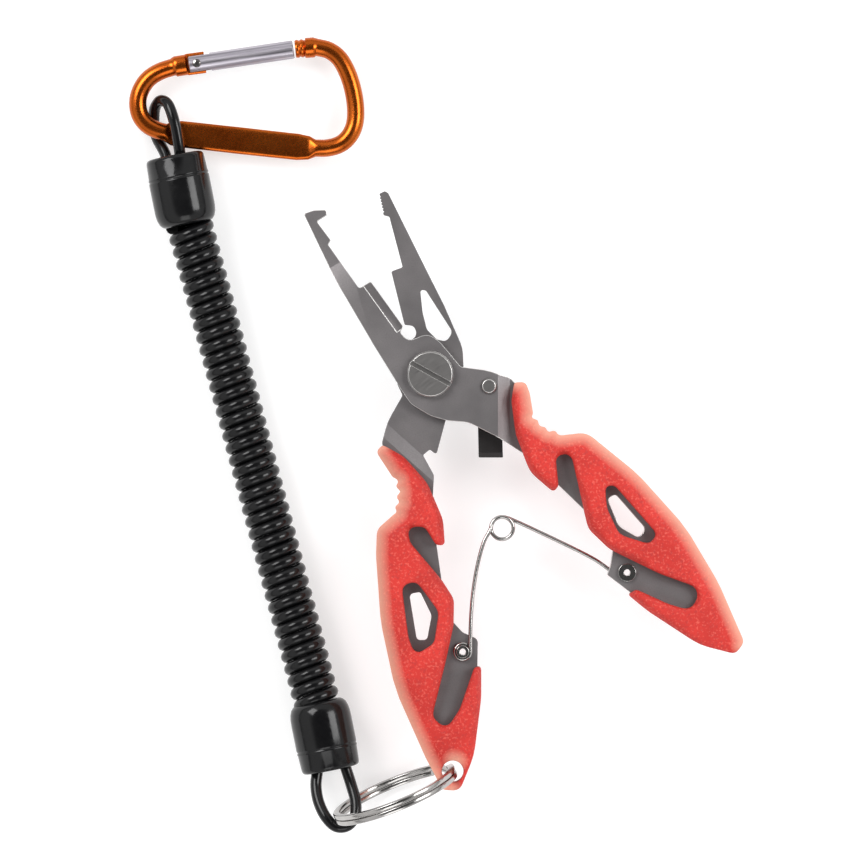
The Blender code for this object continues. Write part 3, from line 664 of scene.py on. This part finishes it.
@dataclass
class Fasteners:
    """The pivot screw and nut, the latch and its rivet, and the spring's eyelets."""

    # the screw's slot faces found by these two fields take a painted shade
    head: float = 4.4        # what lies closer than this to the screw's middle, under its top, is slot
    slot_depth: tuple[float, float] = (0.15, 1.3)        # how far under the top the slot's faces lie
    # the latch's upward faces within this of its top take a painted highlight
    lip_depth: float = 0.1
    upward: float = 0.9      # upward part of a normal past which a face looks up

    def build(self) -> None:
        """Makes each piece from its node, with its edges broken, and a painted highlight on the broken edges
        of the screw, nut, rivet and latch.
        """
        rows = (
            ("pivot_screw", "lower_half", "arm_steel", (SCREW_STEEL, EDGE_HIGHLIGHT, SLOT_SHADE), 0.14),
            ("pivot_nut", "lower_half", "arm_steel", (SCREW_STEEL, EDGE_HIGHLIGHT), 0.1),
            ("latch_rivet", "upper_half", "arm_steel", (SCREW_STEEL, EDGE_HIGHLIGHT), 0.1),
            ("latch_lever", "latch", "latch_steel", (LATCH_STEEL, LATCH_HIGHLIGHT), 0.12),
            ("eyelet_left", "lower_half", "bright_steel", (PLATED, PLATED), 0.12),
            ("eyelet_right", "upper_half", "bright_steel", (PLATED, PLATED), 0.12),
            ("carabiner_gate", "gate", "gate_silver", (SILVER, SILVER), 0.12),
        )
        for node, body, slot, finishes, width in rows:
            shape = merged(node)
            self.accent(node, shape)
            mesh = to_mesh(node + "_piece", shape)
            piece = add_piece(node + "_piece", mesh, finishes, body, (node,))
            soft_edges(piece, width, edge_finish=1)

    def accent(self, node: str, shape: bmesh.types.BMesh) -> None:
        """Marks the screw's slot for its painted shade, and the latch lip's upward faces for their painted
        highlight.

        Args:
            node: the node that the shape is made from.
            shape: the shape whose faces are marked.
        """
        top = max(v.co.z for v in shape.verts) / MM
        high, low = (top - depth for depth in self.slot_depth)
        for face in shape.faces:
            middle = face.calc_center_median() / MM
            # the latch's upward faces near its top take the painted highlight
            if node == "latch_lever" and face.normal.z > self.upward and middle.z > top - self.lip_depth:
                face.material_index = 1
            # the screw's slot faces take the painted shade
            if node == "pivot_screw" and middle.xy.length < self.head and low < middle.z < high:
                face.material_index = 2


@dataclass
class Spring:
    """The opening spring's bent wire: one leg on each half, with the coil on the right one."""

    radius: float = 0.42
    coil_centre: tuple[float, float] = (15.1, -32.3)
    coil_radius: float = 2.35
    coil_turns: float = 2.25
    coil_pitch: float = 1.05
    eye_radius: float = 1.6
    eye_height: float = 1.92
    left_eye: tuple[float, float] = (6.8, -58.2)
    left_sweep: tuple[float, float] = (0.0, -300.0)      # degrees where the eye starts, and that it turns
    right_eye: tuple[float, float] = (41.3, -41.6)
    right_sweep: tuple[float, float] = (-130.0, 280.0)
    per_span: int = 5
    left_leg: Sequence[Sequence[float]] = ((12.75, -32.3), (12.2, -33.4), (11.1, -35.6), (9.8, -40.6),
                                           (8.9, -46.5), (8.5, -52.0), (8.4, -56.6))
    right_leg: Sequence[Sequence[float]] = ((16.4, -30.2), (20.0, -31.8), (27.0, -35.1), (34.0, -38.6),
                                            (37.4, -40.9), (39.7, -42.6))

    def build(self) -> None:
        """Makes both wires."""
        rise = self.coil_pitch * self.coil_turns
        left = self.leg(self.left_leg, rise / 2, self.eye_height)
        left += self.eye(self.left_eye, *self.left_sweep, self.eye_height)
        add_piece("spring_wire_left", wire("spring_wire_left", left, self.radius), (PLATED,),
                  "spring_left", ("spring_leg_left",))
        right = self.coil(rise) + self.leg(self.right_leg, -rise / 2, -self.eye_height)
        right += self.eye(self.right_eye, *self.right_sweep, -self.eye_height)
        add_piece("spring_wire_right", wire("spring_wire_right", right, self.radius), (PLATED,),
                  "spring_right", ("spring_leg_right", "spring_coil"))

    def coil(self, rise: float, steps: int = 90) -> list[Vector]:
        """Draws the coil's turns, from its upper end down.

        Args:
            rise: height from the coil's lower end to its upper one.
            steps: steps from end to end.

        Returns:
            Points along the wire.
        """
        turns = self.coil_turns * 2 * math.pi
        x, y = self.coil_centre
        return [Vector((x + self.coil_radius * math.cos(math.pi - turns * k / steps),
                        y + self.coil_radius * math.sin(math.pi - turns * k / steps),
                        MID + rise / 2 - rise * k / steps)) for k in range(steps + 1)]

    def leg(self, points: Sequence[Sequence[float]], at_coil: float, at_eye: float) -> list[Vector]:
        """Draws a leg from the coil to its eye.

        Args:
            points: its places, seen from above.
            at_coil: height over the middle plane at the coil.
            at_eye: height over the middle plane at the eye.

        Returns:
            Points along the wire.
        """
        last = len(points) - 1
        climb = at_eye - at_coil
        return smooth_route([(x, y, MID + at_coil + climb * min(1.0, k / (last - 1)))
                             for k, (x, y) in enumerate(points)], self.per_span)

    def eye(self, centre: tuple[float, float], first: float, sweep: float, height: float,
            steps: int = 40) -> list[Vector]:
        """Draws the round eye at a leg's end.

        Args:
            centre: its middle.
            first: degrees where it starts.
            sweep: degrees that it turns through.
            height: height over the middle plane.
            steps: steps from end to end.

        Returns:
            Points along the wire.
        """
        angles = [math.radians(first + sweep * k / steps) for k in range(steps + 1)]
        return [Vector((centre[0] + self.eye_radius * math.cos(a), centre[1] + self.eye_radius * math.sin(a),
                        MID + height)) for a in angles]


@dataclass
class KeyRing:
    """The split ring: two turns of flat wire side by side, with a jog between them."""

    hole: tuple[float, float] = (4.7, -83.3)
    radius: float = 13.0
    half_radial: float = 0.74
    half_axial: float = 0.54
    offset: float = 0.6
    heading: float = 202.0
    lean: float = 8.0
    jog: float = 0.6         # radians over which the wire crosses to the second turn
    start: float = 3.95      # where on the ring the first turn starts
    square: float = 0.45     # how square the wire's section is, from 1 for round
    sides: int = 20
    steps: int = 200

    def build(self) -> None:
        """Makes the ring."""
        heading, lean = math.radians(self.heading), math.radians(self.lean)
        along = Vector((math.cos(heading), math.sin(heading), 0))
        across = Vector((-along.y, along.x, 0))
        up = across * math.sin(lean) + Vector((0, 0, 1)) * math.cos(lean)
        normal = along.cross(up)
        centre = Vector((*self.hole, MID)) + along * self.radius
        whole = 4 * math.pi - self.jog
        stations = []
        for k in range(self.steps + 1):
            angle = whole * k / self.steps
            share = min(1.0, max(0.0, (angle - 2 * math.pi + self.jog) / self.jog))
            shift = self.offset * (2 * share * share * (3 - 2 * share) - 1)
            turn = angle + self.start
            outward = along * math.cos(turn) + up * math.sin(turn)
            stations.append([centre + outward * (self.radius + self.half_radial * rounded(u, self.square))
                             + normal * (shift + self.half_axial * rounded(v, self.square))
                             for u, v in circle_points(self.sides)])
        add_piece("split_ring", to_mesh("split_ring", extruded(stations)), (PLATED,), "ring",
                  ("key_ring",))


def circle_points(count: int) -> list[tuple[float, float]]:
    """Points round a circle of radius 1."""
    return [(math.cos(2 * math.pi * k / count), math.sin(2 * math.pi * k / count)) for k in range(count)]


def rounded(value: float, square: float) -> float:
    """Pushes a circle's coordinate towards a square's: 1 leaves the circle, and less squares it."""
    return math.copysign(abs(value) ** square, value)


# ---- the lanyard ----
@dataclass
class Lanyard:
    """The coiled cord, its moulded sleeves and its end loops."""

    cord: float = 1.31       # radius of the coiled cord
    loop: float = 1.2        # radius of the loops' cord
    outer: float = 5.04      # outer radius of the coil
    pitch: float = 2.68
    per_turn: int = 24
    coil_steps: int = 40     # steps of the coil's middle line to each span of its route
    loop_steps: int = 6
    sleeve: float = 6.45     # radius of the sleeves
    seam: float = 0.68       # where a sleeve's seam is, as a share of its length
    sharp: float = 50.0
    route: Sequence[Point] = ((-50.65, 30.9, 6.2), (-46.5, 15.7, 5.6), (-42.5, 0.7, 5.2),
                              (-38.4, -14.7, 5.1), (-34.5, -29.3, 5.1), (-30.7, -43.6, 5.2),
                              (-26.95, -57.6, 5.6), (-24.15, -68.3, 6.2))
    upper_loop: Sequence[Point] = ((-55.7, 45.4, 4.4), (-56.0, 46.6, 3.9), (-56.7, 48.0, 3.2),
                                   (-57.8, 50.0, 1.9), (-58.4, 52.2, 1.25), (-58.5, 54.6, 1.5),
                                   (-58.1, 56.7, 3.0), (-56.9, 57.9, 5.3), (-55.4, 57.1, 7.2),
                                   (-54.4, 54.8, 8.1), (-53.6, 51.8, 8.3), (-53.1, 49.0, 8.0),
                                   (-52.8, 46.9, 7.6), (-52.55, 45.6, 7.3))
    lower_loop: Sequence[Point] = ((-23.6, -82.9, 6.1), (-23.9, -84.4, 6.2), (-24.1, -87.0, 6.8),
                                   (-23.5, -90.2, 8.0), (-22.0, -93.2, 9.2), (-19.9, -95.2, 9.7),
                                   (-17.5, -95.1, 9.7), (-15.9, -93.2, 9.2), (-15.7, -90.2, 8.2),
                                   (-16.6, -86.8, 6.9), (-17.8, -83.1, 6.2), (-18.2, -81.7, 6.2))
    upper_sleeve: Sequence[tuple[float, float]] = ((-54.0, 46.2), (-51.1, 31.6))
    lower_sleeve: Sequence[tuple[float, float]] = ((-20.9, -83.4), (-23.8, -69.0))

    def build(self) -> None:
        sleeves = {name: self.moulding(name, ends) for name, ends in (("sleeve_upper", self.upper_sleeve),
                                                                     ("sleeve_lower", self.lower_sleeve))}
        helix = self.turns()
        coil = add_piece("coiled_cord", wire("coiled_cord", helix, self.cord), (GLOSS_BLACK,), "lanyard",
                         ("coil_cord",))
        for node, points in (("loop_lower", self.lower_loop), ("loop_upper", self.upper_loop)):
            route = smooth_route([(x, y, z + FLOOR) for x, y, z in points], self.loop_steps)
            loop = add_piece(node + "_cord", wire(node, route, self.loop), (GLOSS_BLACK,), "lanyard",
                             (node,))

    def turns(self) -> list[Vector]:
        """Draws the coil's helix about its smooth middle line, carried on 1 mm into each sleeve.

        Returns:
            Points along the cord, from the upper sleeve down.
        """
        middle = smooth_route([(x, y, z + FLOOR) for x, y, z in self.route], self.coil_steps)
        middle.insert(0, middle[0] + (middle[0] - middle[1]).normalized())
        middle.append(middle[-1] + (middle[-1] - middle[-2]).normalized())
        helix = []
        travelled = 0.0
        radius = self.outer - self.cord
        step = self.pitch / self.per_turn
        count = 0
        for here, there in zip(middle, middle[1:]):
            span = (there - here).length
            ahead = (there - here).normalized()
            side = ahead.cross(Vector((0, 0, 1))).normalized()
            up = side.cross(ahead)
            while count * step < travelled + span:
                angle = 2 * math.pi * count / self.per_turn
                place = here + ahead * (count * step - travelled)
                helix.append(place + side * radius * math.cos(angle) + up * radius * math.sin(-angle))
                count += 1
            travelled += span
        return helix

    def moulding(self, node: str, ends: Sequence[tuple[float, float]]) -> bpy.types.Object:
        """Makes a moulded sleeve with a rounded coil end, a seam and a recessed outer end.

        Args:
            node: the node that it stands for.
            ends: the places of its outer end and its coil end.

        Returns:
            The sleeve's object.
        """
        outer, coil = (Vector((*end, FLOOR + self.sleeve)) for end in ends)
        length = (outer - coil).length
        seam = self.seam * length
        r = self.sleeve
        profile = [(0, 0.3), (3.6, 0.3), (4.3, 0.0), (4.8, 0.05), (5.4, 0.35), (5.9, 0.95), (6.25, 1.9),
                   (r - 0.04, 3.0), (r, 4.2), (r, seam - 0.5), (r - 0.03, seam - 0.28),
                   (r - 0.16, seam - 0.14), (r - 0.16, seam), (r - 0.02, seam + 0.12),
                   (r - 0.02, seam + 0.42), (r - 0.12, seam + 0.55),
                   (r - 0.28, length - 0.9), (r - 0.42, length - 0.4), (r - 0.75, length - 0.1),
                   (r - 1.15, length), (4.9, length), (4.65, length - 0.12), (4.5, length - 0.5),
                   (0, length - 0.5)]
        turn = Vector((0, 0, 1)).rotation_difference(outer - coil).to_matrix().to_4x4()
        turn.translation = coil
        mesh = to_mesh(node + "_moulding", spun(profile, turn), self.sharp)
        return add_piece(node + "_moulding", mesh, (GLOSS_BLACK,), "lanyard", (node,))


@dataclass
class Carabiner:
    """The carabiner's body: a round rod with one flat bar, and a ribbed nose under a collar."""

    height: float = -4.75
    rod: float = 1.85
    pin: tuple[float, float] = (-49.3, 65.7)
    pin_reach: float = 1.95  # from the pin's middle to the rims of its heads
    bar_ends: tuple[float, float] = (-55.3, -24.6)       # the flat bar's ends along X
    bar_side: float = 54.0   # the bar lies below this along Y
    rib_start: tuple[float, float] = (-26.6, 68.99)
    rib_step: tuple[float, float] = (-0.32, -0.034)
    ribs: Sequence[float] = (1.72, 1.93, 1.93, 1.72, 1.93, 1.93, 1.8)
    sides: int = 32
    per_span: int = 4
    # a row of five is x, y, half width, half height, and how square the section is, from 1 for round
    hinge_end: Sequence[Sequence[float]] = ((-47.6, 66.0, 2.3, 0.7, 0.5), (-51.3, 65.5, 2.3, 0.7, 0.5),
                                            (-51.6, 65.45, 2.2, 2.1, 0.9), (-53.8, 65.1, 2.2, 2.1, 0.9))
    bend: Sequence[tuple[float, float]] = ((-54.4, 64.95), (-57.2, 64.0), (-59.6, 62.4), (-61.2, 60.0),
                                           (-61.8, 57.4), (-61.3, 54.8), (-59.8, 52.8), (-57.8, 51.7),
                                           (-56.0, 51.2))
    bar: Sequence[Sequence[float]] = ((-54.6, 51.0, 2.6, 1.2, 0.5), (-52.6, 50.8, 2.8, 1.1, 0.42),
                                      (-40.0, 49.4, 2.85, 1.1, 0.42), (-28.0, 48.1, 2.8, 1.1, 0.42),
                                      (-25.6, 47.9, 2.5, 1.2, 0.5), (-24.2, 47.85, 1.85, 1.75, 0.9))
    far_bend: Sequence[tuple[float, float]] = ((-21.6, 47.9), (-19.0, 48.7), (-17.1, 50.4), (-16.0, 52.8),
                                               (-15.75, 56.0), (-16.3, 60.0), (-17.5, 63.8), (-19.2, 66.8),
                                               (-21.4, 68.5), (-24.0, 69.15))
    nose: Sequence[Sequence[float]] = ((-24.6, 69.15, 2.15, 2.1, 1.0), (-26.3, 69.0, 2.15, 2.1, 1.0),
                                       (-26.5, 69.0, 1.7, 1.7, 1.0))

    def build(self) -> None:
        """Makes the body and the pin, and gives the small pieces inside the gate, which keep their own
        solids, a plated finish.
        """
        shape = extruded(self.stations())
        first, last = self.bar_ends
        for face in shape.faces:
            middle = face.calc_center_median() / MM
            face.material_index = int(middle.y < self.bar_side and first < middle.x < last)
        add_piece("carabiner_rod", to_mesh("carabiner_rod", shape), (ORANGE, ORANGE_BAR), "carabiner",
                  ("carabiner_body",))
        reach = self.pin_reach
        profile = [(0, reach + 0.14), (0.45, reach + 0.1), (0.78, reach), (0.78, reach - 0.15),
                   (0.6, reach - 0.15), (0.6, 0.15 - reach), (0.78, 0.15 - reach), (0.78, -reach),
                   (0.45, -reach - 0.1), (0, -reach - 0.14)]
        place = Matrix.Translation((*self.pin, self.height))
        add_piece("gate_pin_rivet", to_mesh("gate_pin_rivet", spun(profile, place, self.sides)), (PLATED,),
                  "carabiner", ("gate_pin",))
        for node in ("gate_plunger", "gate_spring"):
            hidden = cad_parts[node]
            hidden.data.materials.clear()
            hidden.data.materials.append(PLATED.made())
            log.info("%s keeps its own solid", node)

    def stations(self) -> list[list[Vector]]:
        """Draws the rod's sections, with smooth bends and straight changes of width between them.

        Returns:
            Each section's corners in millimetres, from the hinge end to the nose.
        """
        (x, y), (along, across) = self.rib_start, self.rib_step
        ribs = [(x + along * k, y + across * k, wide, wide, 1.0) for k, wide in enumerate(self.ribs)]
        rows = [*self.hinge_end, *self.rods(self.bend), *self.bar, *self.rods(self.far_bend),
                *self.nose, *ribs]
        route = bent_route([row[:2] for row in rows], self.per_span)
        stations = []
        for i, here in enumerate(route):
            ahead = route[min(i + 1, len(route) - 1)] - route[max(i - 1, 0)]
            side = ahead.normalized().orthogonal()
            span, share = divmod(i / self.per_span, 1.0)
            first, second = rows[int(span)], rows[min(int(span) + 1, len(rows) - 1)]
            wide, tall, square = (a + (b - a) * share for a, b in zip(first[2:], second[2:]))
            stations.append([Vector((here.x + side.x * wide * rounded(u, square),
                                     here.y + side.y * wide * rounded(u, square),
                                     self.height + tall * rounded(v, square)))
                             for u, v in circle_points(self.sides)])
        return stations

    def rods(self, places: Sequence[tuple[float, float]]) -> list[tuple[float, ...]]:
        """Round stations at places along a bend."""
        return [(x, y, self.rod, self.rod, 1.0) for x, y in places]


# ---- the studio ----
@dataclass
class Studio:
    """A white floor, soft lights and a long lens straight overhead, under a dark middle of the ceiling."""

    centre: tuple[float, float] = (-1.1, -10.65)
    width: float = 178.5     # of the view, in millimetres
    lens: float = 300.0
    sensor: float = 36.0
    clip: float = 20.0       # metres
    floor_size: float = 6000.0
    floor_gap: float = 0.05  # between the object and the floor
    floor_glow: float = 0.55
    floor_greys: tuple[float, float] = (0.55, 0.54)
    floor_patch: float = 4.0
    floor_rough: float = 0.9
    sky: Sequence[tuple[float, float]] = ((0.0, 0.25), (0.25, 0.8), (0.7, 0.9), (0.86, 0.13), (1.0, 0.08))
    # each light's place and size, both in metres, and its power in watts
    lights: Sequence[tuple[Point, float, float]] = (((-0.55, 0.45, 0.75), 0.5, 5.8),
                                                    ((0.65, 0.15, 0.7), 0.45, 4.6),
                                                    ((0.05, -0.75, 0.8), 0.6, 2.2))

    def build(self) -> None:
        """Makes the camera, the lights, the world and the floor."""
        scene = bpy.context.scene
        scene.view_settings.view_transform = "Standard"
        camera = bpy.data.cameras.new("camera")
        camera.lens = self.lens
        camera.sensor_width = self.sensor
        camera.clip_end = self.clip
        eye = bpy.data.objects.new("camera", camera)
        scene.collection.objects.link(eye)
        distance = self.width * self.lens / self.sensor
        eye.location = Vector((*self.centre, MID + distance)) * MM
        scene.camera = eye
        self.floor()
        self.ceiling()
        for i, (place, size, power) in enumerate(self.lights):
            light = bpy.data.lights.new(f"soft_light_{i}", "AREA")
            light.size = size
            light.energy = power
            lamp = bpy.data.objects.new(f"soft_light_{i}", light)
            lamp.location = place
            lamp.rotation_euler = (-Vector(place)).to_track_quat("-Z", "Y").to_euler()
            scene.collection.objects.link(lamp)

    def ceiling(self) -> None:
        """Makes the world: each row of sky is the upward part of a direction and its brightness."""
        world = bpy.data.worlds.new("studio")
        world.use_nodes = True
        tree = world.node_tree
        split = tree.nodes.new("ShaderNodeSeparateXYZ")
        tree.links.new(tree.nodes.new("ShaderNodeTexCoord").outputs["Generated"], split.inputs[0])
        ramp = tree.nodes.new("ShaderNodeValToRGB")
        tree.links.new(split.outputs["Z"], ramp.inputs[0])
        stops = ramp.color_ramp.elements
        while len(stops) < len(self.sky):
            stops.new(0.5)
        for stop, (place, level) in zip(stops, self.sky):
            stop.position = place
            stop.color = (level, level, level, 1.0)
        tree.links.new(ramp.outputs["Color"], tree.nodes["Background"].inputs["Color"])
        bpy.context.scene.world = world

    def floor(self) -> None:
        """Makes the floor under the object."""
        shape = bmesh.new()
        bmesh.ops.create_grid(shape, x_segments=1, y_segments=1, size=self.floor_size / 2 * MM)
        bmesh.ops.translate(shape, vec=(0, 0, (FLOOR - self.floor_gap) * MM), verts=shape.verts)
        mesh = to_mesh("floor", shape)
        floor = bpy.data.objects.new("floor", mesh)
        bpy.context.scene.collection.objects.link(floor)
        shader = Shader("white_floor", 0.0)
        first, second = ((grey, grey, grey) for grey in self.floor_greys)
        shader.set("Base Color", shader.mix(shader.noise(self.floor_patch), first, second))
        shader.set("Roughness", self.floor_rough)
        shader.set("Emission Color", (1.0, 1.0, 1.0))
        shader.set("Emission Strength", self.floor_glow)
        mesh.materials.append(shader.material)


def main() -> None:
    """Builds every part of the scene in order."""
    logging.basicConfig(level=logging.INFO, format="%(name)s: %(message)s")
    Studio().build()
    Lanyard().build()
    Carabiner().build()
    KeyRing().build()
    Arms().build()
    Grips().build()
    Fasteners().build()
    Spring().build()


if __name__ == "__main__":
    main()
